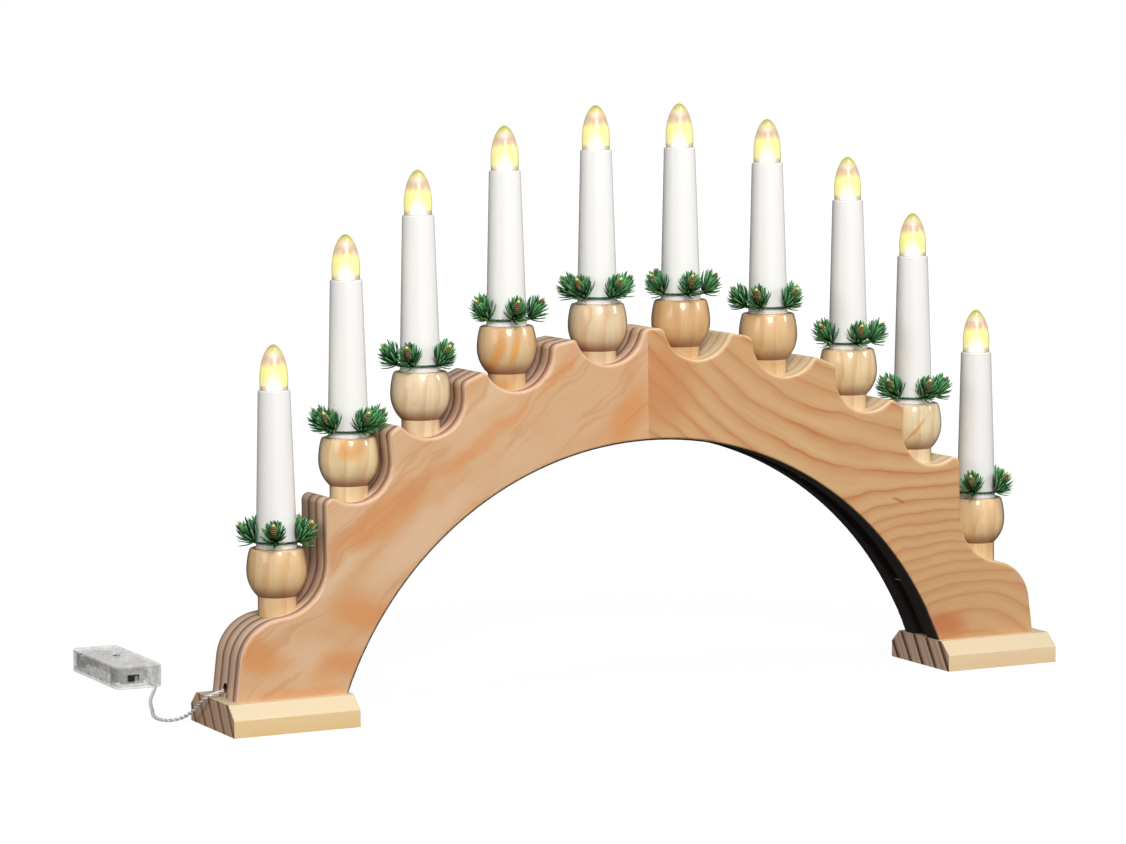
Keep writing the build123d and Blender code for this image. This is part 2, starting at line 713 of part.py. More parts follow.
def case_wires():
    """Thin wires inside the box: lead to switch, lead to one cell and switch to the other."""
    x, z = lead_exit
    y = box_near_y
    pin_x, pin_y, pin_z = switch_pin_x[1] + 0.3, y + 10.0, 6.2
    cell_x, cell_z = contact_hole
    other_x, other_z = switched_hole
    to_switch = [(x - 0.5, y + 1.6, z), (x - 0.5, y + 5.0, z), (x - 1.8, y + 7.6, 4.4),
                 (x - 3.6, y + 9.0, 5.8), (x - 5.2, y + 9.4, 6.2), (switch_pin_x[2] + 0.6, y + 9.4, 6.2)]
    to_contact = [(x + 0.5, y + 1.6, z), (x + 0.5, y + 5.0, z), (x + 1.6, y + 7.4, 5.6),
                  (cell_x, y + 10.2, 7.9), (cell_x, y + 13.6, cell_z), (cell_x, bay_near_y, cell_z + 0.1)]
    switched = [(pin_x, pin_y, pin_z), (pin_x, pin_y + 2.2, pin_z), (other_x, y + 15.4, other_z),
                (other_x, bay_near_y, other_z)]
    wires = {"lead to switch": to_switch, "lead to cell": to_contact, "switch to cell": switched}
    return [tube_along(points, 0.45, name) for name, points in wires.items()]


def battery_lead():
    return tube_along(lead_route, lead_radius, "battery lead")


# Every node and its solids
slab = arch_slab()
dowels = joint_dowels()
screws = foot_screws()
staples = wire_staples()
wreath = wreath_pattern()

nodes = {
    "arch_left_half": arch_half(-1, slab, dowels + screws + staples),
    "arch_right_half": arch_half(1, slab, dowels + screws + staples),
    "joint_dowels": dowels,
    "foot_screws": screws,
    "leds": led_lamps(),
    "led_holders": led_holders(),
    "harness_trunk": harness_trunk(),
    "lamp_leads": lamp_leads(),
    "wire_staples": staples,
    "battery_case_shell": battery_case_shell(),
    "battery_cover": battery_cover(),
    "cover_screw": cover_screw(),
    "switch_body": switch_body(),
    "switch_slider": switch_slider(),
    "contact_springs": contact_springs(),
    "contact_plates": contact_plates(),
    "case_wires": case_wires(),
    "battery_lead": battery_lead(),
}
for side, name in ((-1, "left_foot"), (1, "right_foot")):
    solid = foot(side)
    for cut in screw_clearance():
        solid = solid - cut
    nodes[name] = solid
for number in range(1, candle_count + 1):
    nodes["candle_cup_%02d" % number] = candle_cup(number)
    nodes["candle_sleeve_%02d" % number] = candle_sleeve(number)
    nodes["flame_lens_%02d" % number] = flame_lens(number)
    nodes["wreath_%02d" % number] = place_wreath(wreath, number)

os.makedirs("parts", exist_ok=True)
for name, shape in nodes.items():
    solids = []
    for piece in shape if isinstance(shape, list) else [shape]:
        solids.extend(piece.solids())
    export_step(Compound(children=solids) if len(solids) > 1 else solids[0], "parts/%s.step" % name)
print("%d nodes written" % len(nodes))
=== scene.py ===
import math
import random

import bpy
from mathutils import Matrix, Vector
from mathutils.bvhtree import BVHTree


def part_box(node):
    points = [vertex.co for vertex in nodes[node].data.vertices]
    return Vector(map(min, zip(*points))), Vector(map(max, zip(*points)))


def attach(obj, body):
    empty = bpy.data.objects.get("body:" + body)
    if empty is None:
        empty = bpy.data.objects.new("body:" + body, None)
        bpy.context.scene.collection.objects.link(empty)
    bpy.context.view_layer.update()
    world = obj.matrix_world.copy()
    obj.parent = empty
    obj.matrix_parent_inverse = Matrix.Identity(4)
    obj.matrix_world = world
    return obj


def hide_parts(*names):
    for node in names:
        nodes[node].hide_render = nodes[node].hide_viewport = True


# The candle arch: its finishes, lenses and wreaths, and the lead to its battery box.
# Metres. X runs along the arch, Y away from the viewer, Z up.
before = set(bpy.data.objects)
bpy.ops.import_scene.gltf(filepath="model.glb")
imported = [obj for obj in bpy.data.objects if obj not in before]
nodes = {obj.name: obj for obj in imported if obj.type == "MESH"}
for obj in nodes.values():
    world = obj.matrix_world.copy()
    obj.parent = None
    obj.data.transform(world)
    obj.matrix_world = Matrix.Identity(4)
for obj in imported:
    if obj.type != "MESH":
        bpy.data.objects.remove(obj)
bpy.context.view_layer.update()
MM = 0.001
x_axis, y_axis, z_axis = (1, 0, 0), (0, 1, 0), (0, 0, 1)
candle_numbers = range(1, 11)

# Camera and lamps
camera_place = (-0.9977, -1.9713, 0.3792)
camera_yaw = math.radians(25.80)
camera_pitch = math.radians(-5.963)
camera_roll = math.radians(-0.565)
camera_lens = 130.1
lamp_target = (0, 0, 0.15)

# Wreath
sprigs_per_wreath = 5
sprig_rise = math.radians(53)
sprig_stem = 5.0 * MM
bud_foot = sprig_stem - 0.6 * MM
needles_per_sprig = 54
needle_length = 10.4 * MM
golden_angle = math.radians(137.5)
# Needles are dark and light by turns: the rows in half a turn round the stem, and the two ranges of tone
tone_rows = 22
dark_tones, light_tones = (0.0, 0.15), (0.75, 1.0)
# How far needles bend towards their stem: the lower and outer ones, and the upper inner ones
bowed, straighter = 0.36, 0.14
ring_radius = 12.1 * MM
ring_wire = 0.65 * MM
# How far needles reach from the candle's middle line: any way round, and along the arch
wreath_reach = 23.6 * MM
wreath_half_width = 20.8 * MM
# How near needles come to that line, and to the wood
sleeve_clearance = 11.4 * MM
surface_gap = 0.35 * MM
# A point behind a surface of the wood that is nearer than this lies inside the wood
wall_reach = 8 * MM
# How often a needle that touches something is moved before it is left out
needle_tries = 12
# How far round each wreath is turned, in degrees from the X axis, leftmost first
wreath_turn = [28, -8, 10, 48, 67, 46, 7, 47, 52, 14]

# Battery lead, from the hole in the arch's end to the battery box
strand_radius = 0.5 * MM
twist_pitch = 6.6 * MM
lead_step = 0.55 * MM
lead_route = [
    (-0.2433, 0.0, 0.0201), (-0.2487, -0.0004, 0.0190), (-0.2534, 0.0012, 0.0172), (-0.2545, 0.0078, 0.0124),
    (-0.2556, 0.0160, 0.0070), (-0.2590, 0.0236, 0.0026), (-0.2646, 0.0296, 0.0012),
    (-0.2668, 0.0386, 0.0012), (-0.2652, 0.0490, 0.0012), (-0.2606, 0.0620, 0.0012),
    (-0.2556, 0.0784, 0.0012), (-0.2494, 0.0960, 0.0012), (-0.2420, 0.1126, 0.0012),
    (-0.2364, 0.1246, 0.0013), (-0.2328, 0.1324, 0.0024), (-0.2328, 0.1396, 0.0024),
]


def deselect():
    """Leaves nothing selected and no object in edit mode."""
    if bpy.context.object and bpy.context.object.mode != "OBJECT":
        bpy.ops.object.mode_set(mode="OBJECT")
    bpy.ops.object.select_all(action="DESELECT")


def pick(*objects):
    """Selects these objects alone, the first one active."""
    deselect()
    for thing in objects:
        thing.select_set(True)
    bpy.context.view_layer.objects.active = objects[0]


def paint(red, green, blue):
    """A screen colour, 0 to 255 a channel, as the linear values that sockets hold."""
    def linear(level):
        share = level / 255
        return share / 12.92 if share <= 0.04045 else ((share + 0.055) / 1.055) ** 2.4

    return (linear(red), linear(green), linear(blue), 1.0)


# Finishes
class Finish:
    """A material being made: one glossy shader, and short ways to add nodes to it."""

    def __init__(self, name, **sockets):
        self.material = bpy.data.materials.new(name)
        self.material.use_nodes = True
        self.tree = self.material.node_tree
        self.shader = self.tree.nodes["Principled BSDF"]
        for socket, value in sockets.items():
            self.shader.inputs[socket.replace("_", " ")].default_value = value

    def add(self, kind, output=0, inputs=(), **settings):
        """A node with its settings and inputs, given as (socket, value or another output)."""
        made = self.tree.nodes.new("ShaderNode" + kind)
        for setting, value in settings.items():
            setattr(made, setting, value)
        for socket, value in inputs:
            self.feed(made.inputs[socket], value)
        return made.outputs[output]

    def feed(self, socket, value):
        if isinstance(value, bpy.types.NodeSocket):
            self.tree.links.new(value, socket)
        else:
            socket.default_value = value

    def place(self):
        return self.add("TexCoord", "Object")

    def along(self, direction, vector=None):
        """How far a point lies along a direction, in metres."""
        source = self.place() if vector is None else vector
        return self.add("VectorMath", "Value", [(0, source), (1, direction)], operation="DOT_PRODUCT")

    def sum(self, operation, first, second=0.0, third=0.0):
        """One step of arithmetic."""
        inputs = [(0, first), (1, second), (2, third)]
        return self.add("Math", 0, inputs, operation=operation)

    def band(self, value, low, high, start=0.0, end=1.0):
        """A smooth step from start to end as value goes from low to high."""
        inputs = [("Value", value), ("From Min", low), ("From Max", high), ("To Min", start), ("To Max", end)]
        return self.add("MapRange", 0, inputs, interpolation_type="SMOOTHSTEP")

    def noise(self, vector, scale=1.0, detail=2.0, roughness=0.5, distortion=0.0):
        inputs = [("Vector", vector), ("Scale", scale), ("Detail", detail), ("Roughness", roughness),
                  ("Distortion", distortion)]
        return self.add("TexNoise", 0, inputs)

    def stretched(self, *axes):
        """A position made of (value, scale) pairs, with None for an axis that is left out."""
        inputs = [(n, self.sum("MULTIPLY", *pair)) for n, pair in enumerate(axes) if pair]
        return self.add("CombineXYZ", 0, inputs)

    def mix(self, share, first, second):
        """A colour between two, by a share from 0 to 1."""
        made = self.tree.nodes.new("ShaderNodeMix")
        made.data_type = "RGBA"
        self.feed(made.inputs[0], share)
        self.feed(made.inputs[6], first)
        self.feed(made.inputs[7], second)
        return made.outputs[2]

    def ramp(self, value, *stops, stepped=False):
        """A colour from (place, red, green, blue) stops, or a number from (place, number) stops."""
        made = self.tree.nodes.new("ShaderNodeValToRGB")
        made.color_ramp.interpolation = "CONSTANT" if stepped else "LINEAR"
        points = made.color_ramp.elements
        while len(points) < len(stops):
            points.new(1.0)
        for point, (where, *levels) in zip(points, stops):
            point.position = where
            point.color = paint(*levels) if len(levels) == 3 else levels * 4
        self.feed(made.inputs[0], value)
        return made.outputs[0]

    def patch(self, vector, middle, half_sizes, tilt):
        """A soft oval seen from the front: 1 in its middle, 0 outside; tilt in degrees."""
        inputs = [("Vector", vector), ("Location", (middle[0], 0, middle[1])),
                  ("Rotation", (0, math.radians(-tilt), 0)), ("Scale", (half_sizes[0], 1000, half_sizes[1]))]
        placed = self.add("Mapping", 0, inputs, vector_type="TEXTURE")
        distance = self.add("VectorMath", "Value", [(0, placed)], operation="LENGTH")
        return self.band(distance, 0.25, 1.0, 1.0, 0.0)

    def patches(self, vector, *ovals):
        """Several ovals, the stronger one where two meet."""
        strongest = self.patch(vector, *ovals[0])
        for oval in ovals[1:]:
            strongest = self.sum("MAXIMUM", strongest, self.patch(vector, *oval))
        return strongest

    def warped(self, scale, reach):
        """The position, pushed about by noise, so that edges drawn with it are uneven."""
        push = self.add("TexNoise", "Color", [("Vector", self.place()), ("Scale", scale), ("Detail", 3.0)])
        centred = self.add("VectorMath", 0, [(0, push), (1, (0.5, 0.5, 0.5))], operation="SUBTRACT")
        scaled = self.add("VectorMath", 0, [(0, centred), ("Scale", reach)], operation="SCALE")
        return self.add("VectorMath", 0, [(0, self.place()), (1, scaled)], operation="ADD")

    def facing(self, direction):
        """How squarely the surface faces a direction: 1 straight at it, -1 straight away."""
        return self.along(direction, self.add("NewGeometry", "Normal"))

    def bump(self, height, depth):
        """Raises the surface by height times depth, in metres."""
        inputs = [("Height", height), ("Distance", depth)]
        self.feed(self.shader.inputs["Normal"], self.add("Bump", 0, inputs))

    def colour(self, value):
        self.feed(self.shader.inputs["Base Color"], value)

    def roughness(self, value):
        self.feed(self.shader.inputs["Roughness"], value)


def finish_nodes(finish, *names):
    """Gives CAD pieces a finish."""
    for name in names:
        for material_slot in nodes[name].material_slots:
            material_slot.material = finish.material


# The slab's inner arc, as the imported model has it, for the painted shade on the underside
inner_arc_centre_z = -53.4 * MM
inner_arc_radius = 193.0 * MM
groove_floor_radius = 198.0 * MM
groove_half_width = 7.1 * MM
lead_hole_z = 21.4 * MM
lead_hole_radius = 2.65 * MM


def hypotenuse(finish, first, second):
    """The long side of a right-angled triangle with these two legs."""
    squares = [finish.sum("MULTIPLY", leg, leg) for leg in (first, second)]
    return finish.sum("SQRT", finish.sum("ADD", *squares))


def underside(wood):
    """1 on the slab's inner arc and in its wiring groove and lead hole, where shade is painted, and 0
    elsewhere.
    """
    y = wood.along(y_axis)
    height = wood.along(z_axis)
    above_centre = wood.sum("SUBTRACT", height, inner_arc_centre_z)
    radius = hypotenuse(wood, wood.along(x_axis), above_centre)
    arc = wood.band(radius, inner_arc_radius + 0.5 * MM, inner_arc_radius + 1.6 * MM, 1.0, 0.0)
    floor = wood.sum("LESS_THAN", radius, groove_floor_radius)
    middle = wood.sum("LESS_THAN", wood.sum("ABSOLUTE", y), groove_half_width)
    above_hole = wood.sum("SUBTRACT", height, lead_hole_z)
    hole = wood.sum("LESS_THAN", hypotenuse(wood, y, above_hole), lead_hole_radius)
    hollow = wood.sum("MAXIMUM", hole, wood.sum("MULTIPLY", floor, middle))
    return wood.sum("MAXIMUM", arc, hollow)


def finish_slab(wood, colour, streaks):
    """Completes the slab's colour, roughness, varnish and bump; its underside is rough and painted near black
    as shade.
    """
    underside_shade = underside(wood)
    # Painted shade: the underside, its wiring groove and the lead hole are painted near black.
    wood.colour(wood.mix(underside_shade, colour, paint(24, 13, 9)))
    wood.roughness(wood.band(underside_shade, 0.0, 1.0, wood.band(streaks, 0.3, 0.7, 0.42, 0.56), 0.9))
    wood.feed(wood.shader.inputs["Coat Weight"], wood.band(underside_shade, 0.0, 1.0, 0.15, 0.0))
    wood.bump(streaks, 0.03 * MM)
    return wood


def square_to(wood, axis):
    """1 where the surface faces along an axis, either way, falling to 0 at its sides."""
    return wood.band(wood.sum("ABSOLUTE", wood.facing(axis)), 0.55, 0.9)


def edge_rings(wood, spacing, start, wander):
    """0 to 1 across each growth ring where the slab's edge cuts it, front to back."""
    drift = wood.noise(wood.place(), 14.0, 2.0)
    shifted = wood.sum("MULTIPLY_ADD", drift, wander, wood.along(y_axis))
    return wood.sum("FRACT", wood.sum("MULTIPLY_ADD", shifted, 1 / spacing, start))


def slanted(finish, low, high):
    """0 where a surface faces the eye, rising to 1 at the outline of what is seen."""
    return finish.band(finish.add("LayerWeight", "Facing", [("Blend", 0.5)]), low, high)


def pores(wood, along, across, deep):
    """Fine streaks along the grain, 0 to 1."""
    lengthwise, crosswise = 22.0, 900.0
    position = wood.stretched((wood.along(along), lengthwise), (wood.along(across), crosswise),
                              (wood.along(deep), crosswise))
    return wood.noise(position, 1.0, 3.0, 0.6)


def left_arch_wood():
    """Pale pine with soft orange patches that rise to the crown, and rings on its sawn edge."""
    wood = Finish("left_arch_pine", Coat_Roughness=0.35)
    rise = math.radians(38)
    with_grain = (math.cos(rise), 0, math.sin(rise))
    across = (-math.sin(rise), 0, math.cos(rise))
    where = wood.warped(26.0, 26 * MM)
    orange = wood.patches(where, ((-0.231, 0.040), (0.013, 0.034), 80), ((-0.173, 0.062), (0.017, 0.027), 65),
                          ((-0.183, 0.030), (0.012, 0.026), 90), ((-0.206, 0.017), (0.034, 0.009), 0),
                          ((-0.160, 0.107), (0.052, 0.012), 33), ((-0.102, 0.146), (0.052, 0.007), 38),
                          ((-0.055, 0.181), (0.026, 0.006), 58), ((-0.016, 0.150), (0.030, 0.014), 58))
    pale = wood.patches(where, ((-0.204, 0.038), (0.015, 0.026), 90), ((-0.190, 0.077), (0.046, 0.005), 30),
                        ((-0.135, 0.098), (0.060, 0.012), 40), ((-0.088, 0.178), (0.040, 0.008), 35))
    clouds = wood.noise(wood.stretched((wood.along(with_grain), 16.0), None, (wood.along(across), 42.0)),
                        1.0, 3.0, 0.5, 0.4)
    face = wood.ramp(clouds, (0.32, 208, 170, 132), (0.5, 206, 164, 123), (0.7, 203, 153, 107))
    face = wood.mix(wood.sum("MULTIPLY", pale, 0.75), face, paint(214, 181, 147))
    orange_share = wood.sum("MULTIPLY", orange, wood.band(clouds, 0.25, 0.6, 0.45, 0.85))
    face = wood.mix(orange_share, face, paint(206, 140, 84))
    lengthwise, crosswise = wood.along(with_grain, where), wood.along(across, where)
    line = wood.noise(wood.stretched((lengthwise, 9.0), None, (crosswise, 120.0)), 1.0, 1.0)
    drawn = wood.sum("MULTIPLY", wood.band(line, 0.56, 0.62), wood.band(line, 0.68, 0.60))
    face = wood.mix(wood.sum("MULTIPLY", drawn, 0.35), face, paint(186, 122, 76))
    ring = edge_rings(wood, 10.0 * MM, 0.1, 3.0 * MM)
    edge = wood.ramp(ring, (0.0, 170, 130, 106), (0.14, 226, 194, 168), (0.5, 218, 184, 158),
                     (0.76, 192, 154, 128), (0.93, 122, 86, 66))
    colour = wood.mix(square_to(wood, y_axis), edge, face)
    streaks = pores(wood, with_grain, across, y_axis)
    colour = wood.mix(wood.band(streaks, 0.35, 0.75, 0.0, 0.12), colour, paint(168, 118, 78))
    return finish_slab(wood, colour, streaks)


def right_arch_wood():
    """Pine with wavy bands that sweep down from the crown and level off."""
    wood = Finish("right_arch_pine", Coat_Roughness=0.35)
    where = wood.warped(11.0, 22 * MM)
    x, z = wood.along(x_axis, where), wood.along(z_axis, where)
    # The bands fall steeply from the crown and flatten out; near the foot they arch over its middle
    fall = wood.sum("MULTIPLY", x, wood.sum("MULTIPLY_ADD", x, -3.0, 1.08))
    aside = wood.sum("SUBTRACT", x, 0.202)
    arched = wood.sum("MULTIPLY", wood.sum("MULTIPLY", aside, aside), 13.0)
    steep = wood.band(z, 0.032, 0.122)
    fall = wood.sum("MULTIPLY_ADD", wood.sum("SUBTRACT", fall, arched), steep, arched)
    ripples = wood.noise(wood.stretched((wood.along(x_axis), 22.0), None, (wood.along(z_axis), 40.0)))
    level = wood.sum("MULTIPLY_ADD", ripples, 9.0 * MM, wood.sum("ADD", z, fall))
    ring = wood.sum("FRACT", wood.sum("MULTIPLY_ADD", level, 1 / (14.0 * MM), 0.28))
    face = wood.ramp(ring, (0.0, 178, 112, 66), (0.05, 199, 150, 102), (0.3, 206, 166, 120),
                     (0.6, 203, 160, 112), (0.85, 195, 143, 93), (0.97, 180, 116, 70))
    fading = wood.noise(wood.place(), 15.0, 2.0)
    faded = wood.sum("MAXIMUM", wood.band(fading, 0.42, 0.66, 0.0, 0.6), wood.band(z, 0.05, 0.13, 0.55, 0.0))
    face = wood.mix(faded, face, paint(199, 155, 108))
    stripes = wood.noise(wood.stretched((x, 14.0), None, (level, 140.0)))
    face = wood.mix(wood.band(stripes, 0.42, 0.72, 0.0, 0.25), face, paint(182, 124, 76))
    crown = wood.patch(where, (0.006, 0.172), (0.030, 0.034), 0)
    face = wood.mix(wood.sum("MULTIPLY", crown, 0.7), face, paint(190, 124, 74))
    low = wood.patch(where, (0.186, 0.024), (0.018, 0.013), 0)
    face = wood.mix(wood.sum("MULTIPLY", low, 0.85), face, paint(186, 112, 66))
    ring_at_edge = edge_rings(wood, 9.0 * MM, 0.4, 2.0 * MM)
    edge = wood.ramp(ring_at_edge, (0.0, 210, 184, 146), (0.2, 226, 204, 168),
                     (0.8, 221, 196, 158), (0.96, 194, 166, 128))
    colour = wood.mix(square_to(wood, y_axis), edge, face)
    streaks = pores(wood, (0.88, 0, -0.47), (0.47, 0, 0.88), y_axis)
    colour = wood.mix(wood.band(streaks, 0.35, 0.75, 0.0, 0.12), colour, paint(160, 110, 70))
    knot = wood.patch(wood.warped(60.0, 6 * MM), (0.154, 0.097), (0.006, 0.0013), -15)
    colour = wood.mix(wood.sum("MULTIPLY", knot, 0.55), colour, paint(140, 72, 40))
    return finish_slab(wood, colour, streaks)


def foot_wood():
    """Cream moulding with faint lines along it, and bold slanting rings on its sawn ends."""
    wood = Finish("foot_pine", Coat_Weight=0.15, Coat_Roughness=0.35)
    slant = math.radians(31)
    across = (0, math.cos(slant), -math.sin(slant))
    x = wood.along(x_axis)
    drift = wood.noise(wood.place(), 30.0, 2.0)
    bent = wood.sum("MULTIPLY_ADD", drift, 3.0 * MM, wood.along(across))
    ring = wood.sum("FRACT", wood.sum("MULTIPLY", bent, 1 / (11.9 * MM)))
    end = wood.ramp(ring, (0.0, 202, 168, 144), (0.08, 232, 201, 176), (0.3, 200, 164, 140),
                    (0.55, 219, 186, 160), (0.76, 182, 144, 120), (0.86, 84, 48, 32),
                    (0.97, 80, 46, 32))
    fibres = pores(wood, (0, math.sin(slant), math.cos(slant)), across, x_axis)
    end = wood.mix(wood.band(fibres, 0.4, 0.7, 0.0, 0.45), end, paint(120, 84, 68))
    # The left foot's ends are more orange, and the right foot's sides paler
    end = wood.mix(wood.band(x, -0.1, 0.1, 0.24, 0.0), end, paint(222, 168, 122))
    face = wood.ramp(ring, (0.0, 226, 199, 149), (0.3, 228, 203, 158), (0.85, 223, 190, 137),
                     (0.96, 216, 176, 118))
    tinted = wood.noise(wood.stretched((x, 16.0), (wood.along(y_axis), 60.0), (wood.along(z_axis), 60.0)))
    face = wood.mix(wood.band(tinted, 0.5, 0.7, 0.0, 0.4), face, paint(226, 178, 114))
    streaks = pores(wood, x_axis, y_axis, z_axis)
    face = wood.mix(wood.band(streaks, 0.35, 0.75, 0.0, 0.2), face, paint(214, 170, 112))
    top = wood.band(wood.facing(z_axis), 0.4, 0.7, 0.0, 0.8)
    face = wood.mix(wood.band(x, -0.1, 0.1, 0.0, 0.35), face, paint(232, 214, 186))
    # Painted sheen: faces that look up are painted a paler, greyer cream, as the light from above falls on
    # them.
    face = wood.mix(top, face, paint(207, 192, 160))
    colour = wood.mix(square_to(wood, x_axis), face, end)
    wood.colour(colour)
    wood.roughness(wood.band(streaks, 0.3, 0.7, 0.4, 0.55))
    wood.bump(streaks, 0.05 * MM)
    return wood


# Each cup's own wood, leftmost first
cup_tones = [(222, 188, 141), (228, 204, 160), (225, 202, 164), (216, 183, 136), (224, 199, 160),
             (214, 173, 123), (218, 182, 133), (229, 201, 156), (232, 212, 172), (230, 196, 148)]


def cup_wood():
    """Varnished pine with upright grain, another tone in each cup; painted shade darkens it underneath and
    browns it to its outline.
    """
    wood = Finish("cup_varnished_pine", Roughness=0.4, Coat_Weight=0.5, Coat_Roughness=0.07)
    x, z = wood.along(x_axis), wood.along(z_axis)
    middles = [sum(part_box("candle_cup_%02d" % n), Vector()).x / 2 for n in candle_numbers]
    # A colour ramp starts at 0, so places on it are counted from this far left of the middle
    shift = 0.25
    starts = [0.0] + [(a + b) / 2 + shift for a, b in zip(middles, middles[1:])]
    stops = [(start, *tone) for start, tone in zip(starts, cup_tones)]
    tone = wood.ramp(wood.sum("ADD", x, shift), *stops, stepped=True)
    front = wood.along((0.9, -0.435, 0))
    drift = wood.noise(wood.stretched((x, 60.0), (wood.along(y_axis), 60.0), (z, 8.0)), 1.0, 2.0, 0.5, 0.6)
    bent = wood.sum("MULTIPLY_ADD", drift, 18.0 * MM, wood.sum("MULTIPLY_ADD", z, -0.06, front))
    ring = wood.sum("FRACT", wood.sum("MULTIPLY", bent, 1 / (9.5 * MM)))
    darker = wood.sum("MULTIPLY", wood.band(ring, 0.35, 0.9), wood.band(ring, 1.0, 0.93))
    colour = wood.mix(wood.sum("MULTIPLY", darker, 0.34), tone, paint(200, 138, 78))
    where = wood.warped(60.0, 5 * MM)
    # Orange marks: a square one high on the second cup, streaks on the fourth and one on the ninth
    second, fourth, ninth = middles[1], middles[3], middles[8]
    orange = wood.patches(where, ((second - 0.005, 0.1442), (0.0120, 0.0082), 0),
                          ((fourth - 0.010, 0.192), (0.0036, 0.017), -14),
                          ((fourth - 0.002, 0.193), (0.0026, 0.015), -16),
                          ((fourth - 0.006, 0.170), (0.005, 0.010), -10),
                          ((ninth - 0.006, 0.136), (0.0012, 0.012), -32))
    colour = wood.mix(wood.sum("MULTIPLY", orange, 0.78), colour, paint(218, 152, 74))
    streaks = pores(wood, z_axis, x_axis, y_axis)
    colour = wood.mix(wood.band(streaks, 0.4, 0.75, 0.0, 0.16), colour, paint(176, 124, 74))
    # Painted shade: faces that look down, under the belly, are painted reddish brown.
    below = wood.band(wood.facing((0, 0, -1)), 0.30, 0.74, 0.0, 0.82)
    colour = wood.mix(below, colour, paint(122, 62, 32))
    # Painted shade: the outline, as seen, is painted dark brown.
    colour = wood.mix(wood.sum("MULTIPLY", slanted(wood, 0.5, 0.98), 0.88), colour, paint(78, 42, 22))
    wood.colour(colour)
    return wood


def raw_wood():
    """Beech dowels, out of sight in the seam."""
    wood = Finish("dowel_beech", Roughness=0.7)
    streaks = pores(wood, x_axis, y_axis, z_axis)
    wood.colour(wood.ramp(streaks, (0.3, 220, 184, 138), (0.7, 190, 148, 102)))
    return wood


def moulded_plastic(name, light, dark, roughness):
    """Plain plastic, with the slight unevenness of a moulded surface."""
    plastic = Finish(name)
    cloud = plastic.noise(plastic.place(), 90.0, 2.0)
    plastic.colour(plastic.mix(plastic.band(cloud, 0.3, 0.7), light, dark))
    speckle = plastic.noise(plastic.place(), 2400.0, 2.0)
    plastic.roughness(plastic.band(cloud, 0.3, 0.7, roughness * 0.9, roughness * 1.1))
    plastic.bump(speckle, 0.02 * MM)
    return plastic


def sleeve_white():
    """Even gloss white, painted a little greyer at its outline as shade."""
    plastic = Finish("sleeve_gloss_white", Roughness=0.34, Coat_Weight=0.25, Coat_Roughness=0.08)
    cloud = plastic.noise(plastic.place(), 40.0, 1.0)
    white = plastic.mix(cloud, paint(237, 235, 232), paint(235, 233, 230))
    # Painted shade: the outline, as seen, is painted grey.
    plastic.colour(plastic.mix(slanted(plastic, 0.72, 1.0), white, paint(206, 202, 199)))
    return plastic


def plated_metal(name, light, dark, roughness):
    """Plated steel with fine drawing marks."""
    metal = Finish(name, Metallic=1.0)
    marks = metal.noise(metal.place(), 1800.0, 3.0, 0.7)
    metal.colour(metal.mix(metal.band(marks, 0.3, 0.7), light, dark))
    metal.roughness(metal.band(marks, 0.3, 0.7, roughness * 0.8, roughness * 1.3))
    return metal


def clear_case():
    """Clear moulded plastic, milky where it is seen edge on, with painted shade at its outline and a painted
    glow on faces that look up.
    """
    plastic = Finish("clear_case_plastic", Roughness=0.12, Coat_Weight=0.6, Coat_Roughness=0.05)
    cloud = plastic.noise(plastic.place(), 210.0, 3.0, 0.7, 1.2)
    milky = plastic.mix(plastic.band(cloud, 0.38, 0.62), paint(248, 247, 244), paint(196, 194, 190))
    up = plastic.facing(z_axis)
    # Painted shade: the outline, as seen, is painted dark grey, except on faces that look up.
    outline = plastic.sum("MULTIPLY", slanted(plastic, 0.62, 0.95), plastic.band(up, 0.75, 0.95, 1.0, 0.0))
    shade = plastic.mix(outline, milky, paint(134, 132, 129))
    plastic.colour(shade)
    thickness = plastic.sum("MULTIPLY", plastic.band(cloud, 0.35, 0.65, 0.85, 1.15),
                            plastic.band(slanted(plastic, 0.0, 1.0), 0.3, 1.0, 0.24, 0.55))
    plastic.feed(plastic.shader.inputs["Alpha"], thickness)
    # Painted light: faces that look up glow with the case's colour.
    plastic.feed(plastic.shader.inputs["Emission Color"], shade)
    plastic.feed(plastic.shader.inputs["Emission Strength"], plastic.band(up, 0.4, 0.9, 0.0, 0.5))
    return plastic


